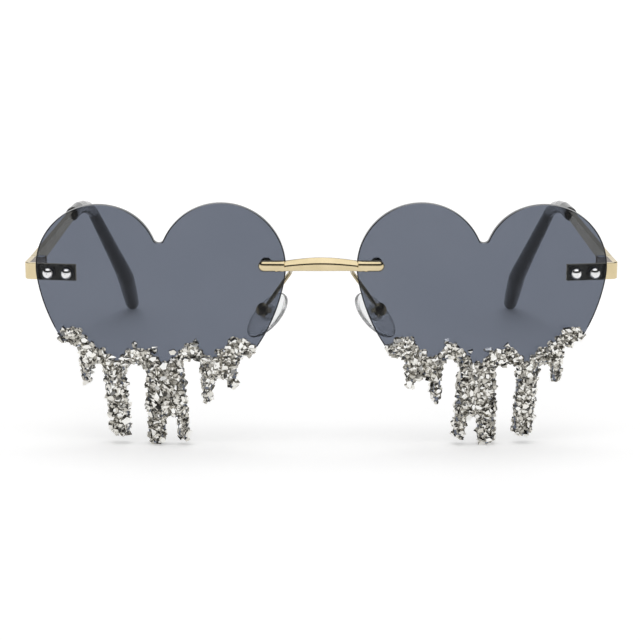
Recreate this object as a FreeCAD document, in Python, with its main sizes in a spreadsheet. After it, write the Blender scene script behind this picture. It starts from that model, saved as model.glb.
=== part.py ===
import FreeCAD, Part
import os
import random
from math import acos, asin, atan2, cos, degrees, hypot, pi, radians, sin, sqrt, tan

Vector = FreeCAD.Vector
Placement = FreeCAD.Placement
Rotation = FreeCAD.Rotation
UP = Vector(0, 0, 1)

doc = FreeCAD.newDocument("heart_sunglasses")
sheet = doc.addObject("Spreadsheet::Sheet", "sizes")

# Driving dimensions in millimetres and degrees. The glasses are symmetric about X = 0, the lenses
# face -Y and the temples run to +Y. Depths are counted from the lens front at X = 0, heights from
# the surface that the glasses stand on, and sideways places are those of the wearer's left side.
SIZES = {
    # Heart lens, cut from a cylinder about an upright axis
    "lens_curve": 500.0,
    "lens_thickness": 1.6,
    "inner_lobe_x": 24.22,
    "inner_lobe_z": 45.52,
    "inner_lobe_radius": 15.6,
    "outer_lobe_z": 46.71,
    "outer_lobe_radius": 13.35,
    "outer_side_radius": 16.02,
    "outer_side_angle": 111.7,
    "outer_flank_radius": 41.6,
    "outer_flank_angle": -8.8,
    "inner_flank_radius": 44.5,
    "inner_flank_angle": 188.9,
    "notch_radius": 1.25,
    "outer_shelf_z": 26.2,
    "outer_root_z": 24.6,
    "inner_shelf_z": 23.8,
    "inner_root_z": 22.2,
    "web_rise": 0.7,
    # Crushed mirror stones on the drips
    "stone_size": 1.6,
    "stone_jitter": 0.26,
    "stone_height": 1.15,
    "stone_gap": 0.06,
    "stone_overhang": 0.15,
    # Bridge with its lugs, studs and pegs
    "lug_sink": 0.325,
    "bridge_lift": 0.48,
    "bridge_rise": 0.45,
    "bar_diameter": 2.3,
    "bar_middle_height": 3.15,
    "bar_chamfer": 0.5,
    "facet_share": 0.11,
    "facet_back": 0.2,
    "lug_diameter": 2.75,
    "lug_inset": 0.36,
    "lug_length": 6.4,
    "stud_inset": 1.85,
    "stud_diameter": 1.2,
    "peg_inset": 1.84,
    "peg_diameter": 0.9,
    "bridge_nut_width": 2.5,
    # Nose pads and their arms
    "arm_diameter": 1.0,
    "arm_edge_gap": 0.6,
    "arm_back_y": 3.7,
    "arm_back_drop": 2.6,
    "arm_knee_out": 3.2,
    "arm_knee_y": 7.0,
    "arm_knee_drop": 7.8,
    "arm_bend_radius": 2.5,
    "pivot_inset": 5.48,
    "pivot_y": 8.1,
    "pivot_drop": 13.4,
    "pad_splay": 41.3,
    "pad_turn": 43.7,
    "pad_length": 13.8,
    "pad_width": 7.3,
    "pad_end_radius": 2.75,
    "pad_thickness": 2.2,
    "pad_drop": 0.8,
    "pad_standoff": 1.1,
    "pad_rim": 0.9,
    "cup_diameter": 3.4,
    "cup_floor": 0.45,
    "cup_dome": 0.45,
    "cup_wall_height": 0.6,
    "cup_slot": 1.5,
    "tongue_length": 1.5,
    "core_diameter": 4.4,
    "core_thickness": 0.6,
    "pad_screw_diameter": 0.9,
    "pad_screw_head": 1.5,
    "pad_screw_head_height": 0.4,
    # End pieces, lens screws and hinges
    "end_drop": 3.86,
    "end_inset": 5.2,
    "end_plate_thickness": 1.0,
    "end_plate_inner": 4.4,
    "end_bend_radius": 1.6,
    "screw_spacing": 4.65,
    "screw_diameter": 1.4,
    "screw_head_diameter": 2.6,
    "screw_head_height": 0.8,
    "lens_nut_width": 2.5,
    "nut_thickness": 1.2,
    "thread_proud": 0.3,
    "bush_wall": 0.3,
    "bush_flange": 0.2,
    "washer_diameter": 3.0,
    "washer_thickness": 0.2,
    "hinge_inset": 0.25,
    "hinge_y": 14.8,
    "knuckle_diameter": 2.8,
    "knuckle_gap": 0.05,
    "butt_gap": 0.05,
    "hinge_pin_diameter": 1.2,
    "hinge_head_diameter": 2.0,
    "hinge_head_height": 0.5,
    # Temples and their black tips
    "temple_turn": 5.0,
    "strip_height": 4.1,
    "strip_thickness": 1.3,
    "strip_end_height": 2.5,
    "tang_lap": 3.0,
    "tang_step": 0.2,
    "sleeve_start": 49.5,
    "sleeve_z": 45.2,
    "mouth_height": 3.5,
    "mouth_width": 3.4,
    "collar_height": 3.7,
    "collar_width": 3.6,
    "collar_length": 0.9,
    "tip_crown_run": 11.0,
    "tip_crown_radius": 40.0,
    "tip_bend_run": 27.0,
    "tip_bend_z": 41.5,
    "tip_bend_radius": 14.0,
    "tip_knee_run": 32.5,
    "tip_knee_z": 14.0,
    "tip_knee_inset": 3.7,
    "tip_knee_radius": 60.0,
    "tip_end_run": 16.4,
    "tip_end_z": 0.73,
    "tip_inset": 2.8,
    "tip_step": 6.0,
    "core_wire_diameter": 1.4,
    "core_wire_stop": 10.0,
    # Clearances
    "fit": 0.02,
    "running_fit": 0.05,
}

# Places that follow from the sizes above
PLACES = {
    "inner_edge": "inner_lobe_x - inner_lobe_radius",
    "lobe_span": "inner_lobe_radius + outer_lobe_radius",
    "outer_lobe_x": "inner_lobe_x + sqrt( lobe_span ^ 2 - ( outer_lobe_z - inner_lobe_z ) ^ 2 )",
    "outer_side_x": "outer_lobe_x + ( outer_lobe_radius - outer_side_radius ) * cos( outer_side_angle )",
    "outer_edge": "outer_side_x + outer_side_radius",
    "bridge_z": "inner_lobe_z + bridge_lift",
    "bridge_axis_y": "lug_sink - lug_diameter / 2",
    "lug_inner_x": "inner_edge + lug_inset",
    "lug_outer_x": "lug_inner_x + lug_length",
    "stud_x": "lug_outer_x - stud_inset",
    "peg_x": "lug_inner_x + peg_inset",
    "arm_root_x": "inner_edge - arm_edge_gap - arm_diameter / 2",
    "arm_back_z": "bridge_z - arm_back_drop",
    "arm_knee_x": "arm_root_x + arm_knee_out",
    "arm_knee_z": "bridge_z - arm_knee_drop",
    "pivot_x": "inner_edge + pivot_inset",
    "pivot_z": "bridge_z - pivot_drop",
    "end_z": "outer_lobe_z - end_drop",
    "end_centre_x": "outer_edge - end_inset",
    "hinge_x": "outer_edge - hinge_inset",
    "tip_crown_y": "sleeve_start + tip_crown_run",
    "tip_bend_y": "sleeve_start + tip_bend_run",
    "tip_knee_y": "tip_bend_y + tip_knee_run",
    "tip_end_y": "tip_knee_y + tip_end_run",
}

# Drips from the outer to the inner one: gap from the last one or from the outer flank, width at the
# root, lean towards the nose, width of the rounded end, lowest point, and top of the next web
DRIP_SIZES = ("gap", "root", "lean", "end", "bottom", "web")
DRIPS = (
    (4.36, 3.0, 0.1, 1.8, 15.5, 20.4),
    (3.1, 5.0, 1.25, 4.8, 1.9, 20.5),
    (5.8, 4.2, 0.0, 4.2, 0.0, 7.5),
    (3.1, 1.3, 0.85, 2.7, 1.6, 22.1),
    (4.6, 2.9, 0.15, 2.0, 11.1, 17.4),
    (3.9, 2.3, -0.2, 1.7, 14.6, 22.9),
)

# Crowns and valleys of the upper edge of the stones: distance from the lens's inner edge, and height
CRUST_SIZES = ("x", "z")
CRUST = (
    (56.1, 27.2), (52.3, 29.6), (47.7, 24.4), (41.5, 21.4), (37.3, 24.8),
    (29.3, 20.3), (23.8, 25.5), (18.5, 22.4), (11.8, 26.9), (6.7, 24.4),
)

# Sections of the black tip behind its collar: distance from the tip's end, height and width
SLEEVE_SIZES = ("before_end", "height", "width")
SLEEVE = (
    (76.0, 3.4, 2.9), (62.0, 3.3, 3.0), (36.0, 4.2, 4.0), (20.0, 5.0, 4.9),
    (9.0, 4.7, 4.6), (2.4, 4.2, 4.1), (1.1, 3.6, 3.5), (0.35, 2.3, 2.2), (0.0, 0.9, 0.85),
)

# Shards: share of the way to the peak where the sides end, share of the full height, seed of the dice
SHARD_TOPS = (0.25, 0.5)
SHARD_HEIGHTS = (0.6, 1.0)
SHARD_SEED = 7

ARCH_STATIONS = (-1, -0.7, -0.35, 0, 0.35, 0.7, 1)
PLATE_FRONT = "lens_thickness + washer_thickness + 2 * fit"


def fill_sheet():
    """Write every size and place into the sheet, one named row each."""
    rows = dict(SIZES)
    rows.update({name: f"={formula}" for name, formula in PLACES.items()})
    for group, names, table in (
        ("drip", DRIP_SIZES, DRIPS), ("crust", CRUST_SIZES, CRUST), ("sleeve", SLEEVE_SIZES, SLEEVE),
    ):
        for index, values in enumerate(table, 1):
            for name, value in zip(names, values):
                rows[f"{group}{index}_{name}"] = value
    for row, (name, value) in enumerate(rows.items(), 1):
        sheet.set(f"A{row}", name)
        sheet.set(f"B{row}", str(value))
        sheet.setAlias(f"B{row}", name)
    doc.recompute()


def size(formula):
    """Value of a formula of sheet names, such as "lug_diameter / 2"."""
    return float(sheet.evalExpression(cells(formula)))


def cells(formula):
    """The same formula as an expression that a document object can be bound to."""
    words = []
    for word in str(formula).replace("(", "( ").replace(")", " )").split():
        is_size = word[0].isalpha() and not word.endswith("(")
        words.append(f"sizes.{word}" if is_size else word)
    return " ".join(words)


def bind(obj, **formulas):
    """Bind properties of an object to formulas of sheet names."""
    for name, formula in formulas.items():
        obj.setExpression(name, cells(formula))
    return obj


def add(kind, name):
    return doc.addObject(kind, name)


def bar(name, diameter, length, place, back="0"):
    """Round bar along the local Z of a placement, from the way "back" behind its origin."""
    solid = bind(add("Part::Cylinder", name), Radius=f"( {diameter} ) / 2", Height=length)
    solid.Placement = place.multiply(Placement(Vector(0, 0, -size(back)), Rotation()))
    return solid


def block(name, low, high, place):
    """Box between two corners given as formulas, in a local frame."""
    solid = add("Part::Box", name)
    bind(
        solid,
        Length=f"( {high[0]} ) - ( {low[0]} )",
        Width=f"( {high[1]} ) - ( {low[1]} )",
        Height=f"( {high[2]} ) - ( {low[2]} )",
    )
    solid.Placement = place.multiply(Placement(Vector(*[size(way) for way in low]), Rotation()))
    return solid


def hexagon(name, width, thickness, place, back="0"):
    """Hexagonal nut blank of a width across flats along the local Z."""
    solid = add("Part::Prism", name)
    solid.Polygon = 6
    bind(solid, Circumradius=f"( {width} ) / sqrt( 3 )", Height=thickness)
    solid.Placement = place.multiply(Placement(Vector(0, 0, -size(back)), Rotation()))
    return solid


def dome(name, diameter, height, place, back):
    """Cap of a ball that rises against the local Z from a foot at the way "back" behind the origin."""
    radius = f"( ( {diameter} ) ^ 2 / 4 + ( {height} ) ^ 2 ) / ( 2 * ( {height} ) )"
    ball = bind(add("Part::Sphere", f"{name}_ball"), Radius=radius)
    sunk = size(f"{radius} - ( {height} ) - ( {back} )")
    ball.Placement = place.multiply(Placement(Vector(0, 0, sunk), Rotation()))
    cap = add("Part::Common", name)
    cap.Base = ball
    cap.Tool = bar(f"{name}_slab", f"2 * ( {diameter} )", height, place, f"{back} + {height}")
    return cap


def fuse(name, *shapes):
    joined = add("Part::MultiFuse", name)
    joined.Shapes = list(shapes)
    joined.Refine = True
    return joined


def cut(name, base, tool):
    rest = add("Part::Cut", name)
    rest.Base = base
    rest.Tool = tool
    rest.Refine = True
    return rest


def group(name, *shapes):
    """Identical pieces that share one node as separate solids."""
    pieces = add("Part::Compound", name)
    pieces.Links = list(shapes)
    return pieces


def origin_plane(body, role):
    return next(plane for plane in body.Origin.OriginFeatures if plane.Role == role)


def sketch_in(body, role, name, offset="0"):
    """Sketch on one of a body's own origin planes, moved along its normal by a formula."""
    sketch = body.newObject("Sketcher::SketchObject", name)
    sketch.AttachmentSupport = (origin_plane(body, role), [""])
    sketch.MapMode = "FlatFace"
    sketch.setExpression("AttachmentOffset.Base.z", cells(offset))
    return sketch


def pad(body, sketch, length):
    raised = body.newObject("PartDesign::Pad", f"{body.Name}_pad")
    raised.Profile = sketch
    bind(raised, Length=length)
    doc.recompute()
    return raised


def polyline(points):
    ends = points[1:] + points[:1]
    return [Part.LineSegment(start, end) for start, end in zip(points, ends)]


def route(name, points, radii):
    """Straight runs through points, joined by tangent arcs."""
    edges = []
    start = points[0]
    for before, corner, after, radius in zip(points, points[1:], points[2:], radii):
        inward = (before - corner).normalize()
        outward = (after - corner).normalize()
        half_turn = (pi - inward.getAngle(outward)) / 2
        reach = radius * tan(half_turn)
        first = corner + inward * reach
        last = corner + outward * reach
        middle = corner + (inward + outward).normalize() * radius * (1 / cos(half_turn) - 1)
        edges += [Part.LineSegment(start, first).toShape(), Part.Arc(first, middle, last).toShape()]
        start = last
    edges.append(Part.LineSegment(start, points[-1]).toShape())
    path = add("Part::Feature", name)
    path.Shape = Part.Wire(edges)
    return path


def along(path, way):
    """Point and direction at a way along a route."""
    for edge in path.Shape.Edges:
        if way <= edge.Length or edge.isSame(path.Shape.Edges[-1]):
            at = edge.getParameterByLength(min(way, edge.Length))
            return edge.valueAt(at), edge.tangentAt(at)
        way -= edge.Length


def wire_along(name, path, diameter):
    """Round wire swept along a route."""
    start, direction = along(path, 0)
    profile = bind(add("Part::Circle", f"{name}_profile"), Radius=f"( {diameter} ) / 2")
    profile.Placement = Placement(start, Rotation(UP, direction))
    wire = add("Part::Sweep", name)
    wire.Sections = [profile]
    wire.Spine = (path, [f"Edge{index + 1}" for index in range(len(path.Shape.Edges))])
    wire.Solid = True
    wire.Frenet = False
    return wire


def on_lens(x):
    """Depth of the lens front at a sideways place."""
    curve = size("lens_curve")
    return curve - sqrt(curve ** 2 - x ** 2)


def lens_frame(x, z):
    """Frame on the lens front: X outwards along the lens, Y down, Z backwards through it."""
    lean = asin(x / size("lens_curve"))
    sideways = Vector(cos(lean), sin(lean), 0)
    backwards = Vector(-sin(lean), cos(lean), 0)
    return Placement(Vector(x, front_y + on_lens(x), z), Rotation(sideways, -UP, backwards, "XZY"))


def hinge_frame():
    """Frame on the hinge axis: X outwards, Y back along the temple, Z up."""
    place = Vector(size("hinge_x"), front_y + size("hinge_y"), 0)
    return Placement(place, Rotation(UP, size("temple_turn")))


def pad_frame():
    """Frame on the pad pivot: X down along the pad, Y along the pad screw, Z to the nose."""
    splay, turn = radians(size("pad_splay")), radians(size("pad_turn"))
    down = Vector(sin(splay), 0, -cos(splay))
    nose = Vector(-cos(splay) * cos(turn), sin(turn), -sin(splay) * cos(turn))
    place = Vector(size("pivot_x"), front_y + size("pivot_y"), size("pivot_z"))
    return Placement(place, Rotation(down, nose.cross(down), nose, "XZY"))


def arc(centre, radius, start, end):
    circle = Part.Circle(centre, UP, radius)
    return Part.ArcOfCircle(circle, radians(start), radians(end))


def polar(centre, radius, angle):
    return centre + Vector(cos(radians(angle)), sin(radians(angle)), 0) * radius


def heart_arcs():
    """Tangent arcs of the heart, from the inner flank over both lobes to the outer flank."""
    inner = Vector(size("inner_lobe_x"), size("inner_lobe_z"), 0)
    inner_radius = size("inner_lobe_radius")
    outer = Vector(size("outer_lobe_x"), size("outer_lobe_z"), 0)
    outer_radius = size("outer_lobe_radius")
    notch_radius = size("notch_radius")
    # The notch circle touches both lobes from above
    to_inner, to_outer = inner_radius + notch_radius, outer_radius + notch_radius
    span = (outer - inner).Length
    rise = degrees(acos((to_inner ** 2 + span ** 2 - to_outer ** 2) / (2 * to_inner * span)))
    level = degrees(atan2(outer.y - inner.y, outer.x - inner.x))
    inner_end = level + rise
    notch = polar(inner, to_inner, inner_end)
    outer_end = degrees(atan2(notch.y - outer.y, notch.x - outer.x))

    flank_radius, flank_start = size("inner_flank_radius"), size("inner_flank_angle")
    flank = polar(inner, inner_radius - flank_radius, flank_start)
    flank_end = 180 - degrees(asin((size("inner_shelf_z") - flank.y) / flank_radius))

    side_radius, side_start = size("outer_side_radius"), size("outer_side_angle")
    side = polar(outer, outer_radius - side_radius, side_start)
    far_radius, far_start = size("outer_flank_radius"), size("outer_flank_angle")
    far = polar(side, side_radius - far_radius, far_start)
    far_end = degrees(asin((size("outer_shelf_z") - far.y) / far_radius))
    arcs = [
        arc(flank, flank_radius, flank_start, flank_end),
        arc(inner, inner_radius, inner_end, flank_start),
        arc(notch, notch_radius, inner_end + 180, outer_end + 180),
        arc(outer, outer_radius, side_start, outer_end),
        arc(side, side_radius, far_start, side_start),
        arc(far, far_radius, far_end, far_start),
    ]
    return arcs, polar(flank, flank_radius, flank_end), polar(far, far_radius, far_end)


def drip_edges(start, end):
    """Lower edge of the lens: drips with round ends and arched webs between them."""
    edges = []
    rise = size("web_rise")
    root_z = size("outer_root_z")
    last = len(DRIPS)
    for index in range(1, last + 1):
        drip = {name: size(f"drip{index}_{name}") for name in DRIP_SIZES}
        radius = drip["end"] / 2
        outer_root = Vector(start.x - drip["gap"], root_z, 0)
        if index > 1:
            web = Vector((start.x + outer_root.x) / 2, root_z + rise, 0)
        root_z = size("inner_root_z") if index == last else drip["web"] - rise
        inner_root = Vector(outer_root.x - drip["root"], root_z, 0)
        middle = (outer_root.x + inner_root.x) / 2
        centre = Vector(middle - drip["lean"], drip["bottom"] + radius, 0)
        edges += [
            Part.LineSegment(start, outer_root) if index == 1 else Part.Arc(start, web, outer_root),
            Part.LineSegment(outer_root, polar(centre, radius, 0)),
            arc(centre, radius, 180, 360),
            Part.LineSegment(polar(centre, radius, 180), inner_root),
        ]
        start = inner_root
    return edges + [Part.LineSegment(start, end)]


def lens_outline():
    """Sketch of the lens outline, seen from the front."""
    outline = add("Sketcher::SketchObject", "lens_outline")
    outline.Placement = Placement(Vector(0, front_y, 0), Rotation(Vector(1, 0, 0), 90))
    arcs, inner_end, outer_end = heart_arcs()
    outline.addGeometry(arcs + drip_edges(outer_end, inner_end))
    doc.recompute()
    return outline


def lens_holes():
    """Holes for the two lens screws' bushes, the bridge stud's bush and the bridge peg."""
    reach = "lens_thickness * 3"
    bush = "+ 2 * bush_wall + 4 * fit"
    holes = [
        bar(f"lens_hole_{index}", f"screw_diameter {bush}", reach, frame, "lens_thickness")
        for index, frame in enumerate(screw_frames())
    ]
    stud, peg = stud_frame("stud_x"), stud_frame("peg_x")
    holes.append(bar("stud_hole", f"stud_diameter {bush}", reach, stud, "lens_thickness"))
    holes.append(bar("peg_hole", "peg_diameter + 2 * fit", reach, peg, "lens_thickness"))
    return fuse("lens_holes", *holes)


def make_lens(outline):
    blank = add("Part::Extrusion", "lens_blank")
    blank.Base = outline
    blank.DirMode = "Normal"
    blank.Solid = True
    blank.Symmetric = True
    bind(blank, LengthFwd="outer_edge")
    axis = Placement(Vector(0, front_y + size("lens_curve"), 0), Rotation())
    tall, below = "2 * inner_lobe_z", "inner_lobe_radius"
    front = bar("lens_front", "2 * lens_curve", tall, axis, below)
    back = bar("lens_back", "2 * ( lens_curve - lens_thickness )", tall, axis, below)
    sheet_of_lens = cut("lens_sheet", front, back)
    heart = add("Part::Common", "lens_heart")
    heart.Base = blank
    heart.Tool = sheet_of_lens
    return cut("lens", heart, lens_holes())


def crust_top(x):
    """Height of the upper edge of the stones, swinging between its crowns and valleys."""
    edge = size("inner_edge")
    knots = [
        (edge + size(f"crust{index}_x"), size(f"crust{index}_z")) for index in range(1, len(CRUST) + 1)
    ]
    for (outer_x, outer_z), (inner_x, inner_z) in zip(knots, knots[1:]):
        if inner_x <= x <= outer_x:
            swing = (1 - cos(pi * (outer_x - x) / (outer_x - inner_x))) / 2
            return outer_z + (inner_z - outer_z) * swing
    return 0.0


def stone(foot, frame, height, dice):
    """One shard: four-sided foot on the lens, sides that lean to one peak, two top facets."""
    reach = size("stone_size") / 4
    peak = Vector(dice.uniform(-reach, reach), dice.uniform(-reach, reach), -2 * height)
    top = [corner + (peak - corner) * dice.uniform(*SHARD_TOPS) for corner in foot]
    rings = [foot, [top[0], top[1], top[2]], [top[0], top[2], top[3]]]
    for side in range(4):
        after = (side + 1) % 4
        rings.append([foot[side], foot[after], top[after], top[side]])
    faces = [Part.Face(Part.makePolygon(ring + ring[:1])) for ring in rings]
    solid = Part.Solid(Part.Shell(faces))
    if solid.Volume < 0:
        solid.reverse()
    solid.Placement = frame
    return solid


def make_stones(outline):
    """Crushed mirror stones below the crust line, glued to the lens in the cells of an uneven grid."""
    face = Part.Face(outline.Shape)
    pitch, jitter = size("stone_size"), size("stone_jitter")
    low_x = size("inner_edge")
    columns = int(size("outer_edge - inner_edge") / pitch)
    rows = int(size("inner_lobe_z") / pitch)
    dice = random.Random(SHARD_SEED)
    grid = {}
    for row in range(rows + 1):
        for column in range(columns + 1):
            x = low_x + (column + (row % 2) / 3) * pitch + dice.uniform(-jitter, jitter)
            grid[column, row] = Vector(x, row * pitch + dice.uniform(0, jitter), 0)
    stones = []
    for row in range(rows):
        for column in range(columns):
            corners = [grid[column + right, row + up] for right, up in ((0, 0), (1, 0), (1, 1), (0, 1))]
            middle = (corners[0] + corners[1] + corners[2] + corners[3]) / 4
            height = size("stone_height") * dice.uniform(*SHARD_HEIGHTS)
            spot = Vector(middle.x, front_y, middle.y)
            if middle.y < crust_top(middle.x) and face.isInside(spot, size("stone_overhang"), True):
                foot = [(corner - middle) * (1 - size("stone_gap")) for corner in corners]
                foot = [Vector(corner.x, -corner.y, 0) for corner in foot]
                stones.append(stone(foot, lens_frame(middle.x, middle.y), height, dice))
    crust = add("Part::Feature", "crystals")
    crust.Shape = Part.Compound(stones)
    return crust


def stud_frame(place):
    return lens_frame(size(place), size("bridge_z"))


def bar_profile(tall):
    """Corners of one section of the bar, as up and to the front: a flat front with a roof facet above."""
    top, front, cut_off = tall / 2, size("bar_diameter / 2"), size("bar_chamfer")
    return [
        Vector(-top, front - cut_off, 0), Vector(cut_off - top, front, 0),
        Vector(tall * size("facet_share"), front, 0), Vector(top, -size("facet_back"), 0),
        Vector(top, cut_off - front, 0), Vector(top - cut_off, -front, 0),
        Vector(cut_off - top, -front, 0), Vector(-top, cut_off - front, 0),
    ]


def make_arch():
    """Bar of the bridge: an arch of faceted sections, tallest in its middle and lapping into both lugs."""
    half, rise = size("lug_inner_x"), size("bridge_rise")
    radius = (half ** 2 + rise ** 2) / (2 * rise)
    reach = asin(half / radius) + size("bar_diameter") / radius
    centre = Vector(0, front_y + size("bridge_axis_y"), size("bridge_z") + rise - radius)
    sections = []
    for share in ARCH_STATIONS:
        lean = Vector(sin(share * reach), 0, cos(share * reach))
        onward = Vector(lean.z, 0, -lean.x)
        swell = size("bar_middle_height - bar_diameter") * (1 + cos(pi * share)) / 2
        section = add("Part::Polygon", f"arch_section_{len(sections)}")
        section.Nodes = bar_profile(size("bar_diameter") + swell)
        section.Close = True
        turn = Rotation(lean, onward.cross(lean), onward, "ZXY")
        section.Placement = Placement(centre + lean * radius, turn)
        sections.append(section)
    arch = add("Part::Loft", "bridge_arch")
    arch.Sections = sections
    arch.Solid = True
    return arch


def make_bridge():
    """Arched bar between two round lugs that lie on the lens fronts, with a stud and a peg each."""
    half = size("lug_inner_x")
    arch = make_arch()
    lugs = []
    for side in (1, -1):
        outwards = Rotation(UP, Vector(side, 0, 0))
        axis = Vector(side * half, front_y + size("bridge_axis_y"), size("bridge_z"))
        length = "lug_outer_x - lug_inner_x - lug_diameter / 2"
        lug = bar(f"bridge_lug_{len(lugs)}", "lug_diameter", length, Placement(axis, outwards))
        end = bind(add("Part::Sphere", f"bridge_lug_end_{len(lugs)}"), Radius="lug_diameter / 2")
        end.Placement = Placement(axis + Vector(side * size(length), 0, 0), Rotation())
        lugs += [lug, end]
    axis = Placement(Vector(0, front_y + size("lens_curve"), 0), Rotation())
    seat = bar("bridge_seat", "2 * ( lens_curve + fit )", "bridge_z * 2", axis)
    body = cut("bridge_body", fuse("bridge_blank", arch, *lugs), seat)
    pins = []
    stack = "lens_thickness + bush_flange + washer_thickness + nut_thickness + thread_proud + 3 * fit"
    for place, diameter, reach in (
        ("stud_x", "stud_diameter", stack), ("peg_x", "peg_diameter", "lens_thickness"),
    ):
        root = "lug_diameter / 2"
        pin = bar(f"bridge_{place}", diameter, f"{reach} + {root}", stud_frame(place), root)
        other = add("Part::Mirroring", f"bridge_{place}_other")
        other.Source = pin
        other.Normal = Vector(1, 0, 0)
        pins += [pin, other]
    return fuse("bridge", body, *pins)


def make_bush(name, shank, flange_diameter, frame, at_back):
    """Nylon bush in a lens hole, with a flange in front of or behind the lens."""
    outer = f"{shank} + 2 * bush_wall + 2 * fit"
    sleeve_back = "0" if at_back else "bush_flange"
    sleeve = bar(f"{name}_sleeve", outer, "lens_thickness + bush_flange", frame, sleeve_back)
    flange_back = "- ( lens_thickness + fit )" if at_back else "bush_flange"
    flange = bar(f"{name}_flange", flange_diameter, "bush_flange", frame, flange_back)
    bore = bar(f"{name}_bore", f"{shank} + 2 * fit", "lens_thickness * 3", frame, "lens_thickness")
    return cut(name, fuse(f"{name}_blank", sleeve, flange), bore)


def make_ring(name, diameter, bore, thickness, frame, back):
    ring = bar(f"{name}_disc", diameter, thickness, frame, back)
    hole = bar(f"{name}_hole", bore, f"3 * ( {thickness} )", frame, f"{back} + {thickness}")
    return cut(name, ring, hole)


def make_nut(name, width, bore, frame, back):
    blank = hexagon(f"{name}_blank", width, "nut_thickness", frame, back)
    hole = bar(f"{name}_hole", bore, "3 * nut_thickness", frame, f"{back} + nut_thickness")
    return cut(name, blank, hole)


def make_bridge_fixings():
    """Bush, washer and nut on the bridge stud, behind the lens."""
    frame = stud_frame("stud_x")
    bore = "stud_diameter + 2 * fit"
    bush = make_bush("bridge_bush", "stud_diameter", "washer_diameter", frame, True)
    behind = "lens_thickness + bush_flange + 2 * fit"
    washer = make_ring(
        "bridge_washer", "washer_diameter", bore, "washer_thickness", frame, f"- ( {behind} )",
    )
    nut = make_nut("bridge_nut", "bridge_nut_width", bore, frame, f"- ( {behind} + washer_thickness )")
    return {"bridge_bush": bush, "bridge_washer": washer, "bridge_nut": nut}


def make_pad_arm(bridge):
    """Wire from the bridge to a slotted cup that holds the nose pad."""
    frame = pad_frame()
    root = Vector(size("arm_root_x"), front_y + size("bridge_axis_y"), size("bridge_z"))
    back = Vector(size("arm_root_x"), front_y + size("arm_back_y"), size("arm_back_z"))
    knee = Vector(size("arm_knee_x"), front_y + size("arm_knee_y"), size("arm_knee_z"))
    seat_x = -size("cup_diameter / 2 - arm_diameter / 4")
    floor_z = -size("tongue_length / 2 + 2 * running_fit")
    seat = frame.multVec(Vector(seat_x, 0, floor_z + size("cup_floor / 2")))
    path = route("arm_route", [root, back, knee, seat], [size("arm_bend_radius")] * 2)
    wire = wire_along("arm_wire", path, "arm_diameter")
    depth = "tongue_length / 2 + 2 * running_fit"
    base = f"{depth} + cup_floor"
    cup = bar("cup", "cup_diameter", f"{base} + cup_wall_height", frame, base)
    back_of_cup = dome("cup_back", "cup_diameter", "cup_dome", frame, base)
    slot = block(
        "cup_slot_cut", ("- cup_diameter", "- cup_slot / 2", f"- ( {depth} )"),
        ("cup_diameter", "cup_slot / 2", "2 * cup_wall_height"), frame,
    )
    across = frame.multiply(Placement(Vector(), Rotation(Vector(1, 0, 0), -90)))
    hole = bar("cup_hole", "pad_screw_diameter + 2 * fit", "2 * cup_diameter", across, "cup_diameter")
    open_cup = cut("cup_open", fuse("arm_blank", wire, cup, back_of_cup), fuse("cup_cuts", slot, hole))
    return cut("pad_arm", open_cup, bridge)


def make_pad_screw():
    """Cross screw through the cup's cheeks, on which the pad rocks."""
    across = pad_frame().multiply(Placement(Vector(), Rotation(Vector(1, 0, 0), -90)))
    shank = bar("pad_screw_shank", "pad_screw_diameter", "cup_diameter", across, "cup_diameter / 2")
    front = "- cup_diameter / 2"
    head = bar("pad_screw_head_disc", "pad_screw_head", "pad_screw_head_height", across, front)
    return fuse("pad_screw", shank, head)


def make_pad_core():
    """Hard insert of the pad: tongue on the pad screw and disc in the pad's back."""
    frame = pad_frame()
    across = frame.multiply(Placement(Vector(), Rotation(Vector(1, 0, 0), -90)))
    thick = "cup_slot - 2 * running_fit"
    eye = bar("tongue_eye", "tongue_length", thick, across, f"( {thick} ) / 2")
    stem = block(
        "tongue_stem", ("- tongue_length / 2", f"- ( {thick} ) / 2", "0"),
        ("tongue_length / 2", f"( {thick} ) / 2", "pad_standoff"), frame,
    )
    disc = bar("core_disc", "core_diameter", "core_thickness", frame, "- pad_standoff")
    bore = "pad_screw_diameter + 2 * running_fit"
    hole = bar("tongue_hole", bore, "2 * cup_diameter", across, "cup_diameter")
    return cut("pad_core", fuse("core_blank", eye, stem, disc), hole)


def pad_oval():
    """Four tangent arcs of the pad's outline, two tight ones at its ends and two flat ones between."""
    centre = Vector(size("pad_drop"), 0, 0)
    short_half, end_radius = size("pad_width / 2"), size("pad_end_radius")
    end = size("pad_length / 2") - end_radius
    flat_radius = (end ** 2 + short_half ** 2 - end_radius ** 2) / (2 * (short_half - end_radius))
    offset = flat_radius - short_half
    turn = degrees(atan2(offset, end))
    return [
        arc(centre + Vector(end, 0, 0), end_radius, -turn, turn),
        arc(centre - Vector(0, offset, 0), flat_radius, turn, 180 - turn),
        arc(centre - Vector(end, 0, 0), end_radius, 180 - turn, 180 + turn),
        arc(centre + Vector(0, offset, 0), flat_radius, 180 + turn, 360 - turn),
    ]


def make_nose_pad(core):
    """Soft oval pad with rounded rims, moulded round the disc of its insert."""
    body = add("PartDesign::Body", "pad_body")
    body.Placement = pad_frame()
    oval = sketch_in(body, "XY_Plane", "pad_oval", "pad_standoff")
    oval.addGeometry(pad_oval())
    raised = pad(body, oval, "pad_thickness")
    edges = enumerate(raised.Shape.Edges, 1)
    rims = [f"Edge{index}" for index, edge in edges if edge.Curve.TypeId == "Part::GeomCircle"]
    soft = body.newObject("PartDesign::Fillet", "pad_rims")
    soft.Base = (raised, rims)
    bind(soft, Radius="min( pad_rim ; pad_thickness * 0.45 )")
    doc.recompute()
    return cut("nose_pad", body, core)


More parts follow.
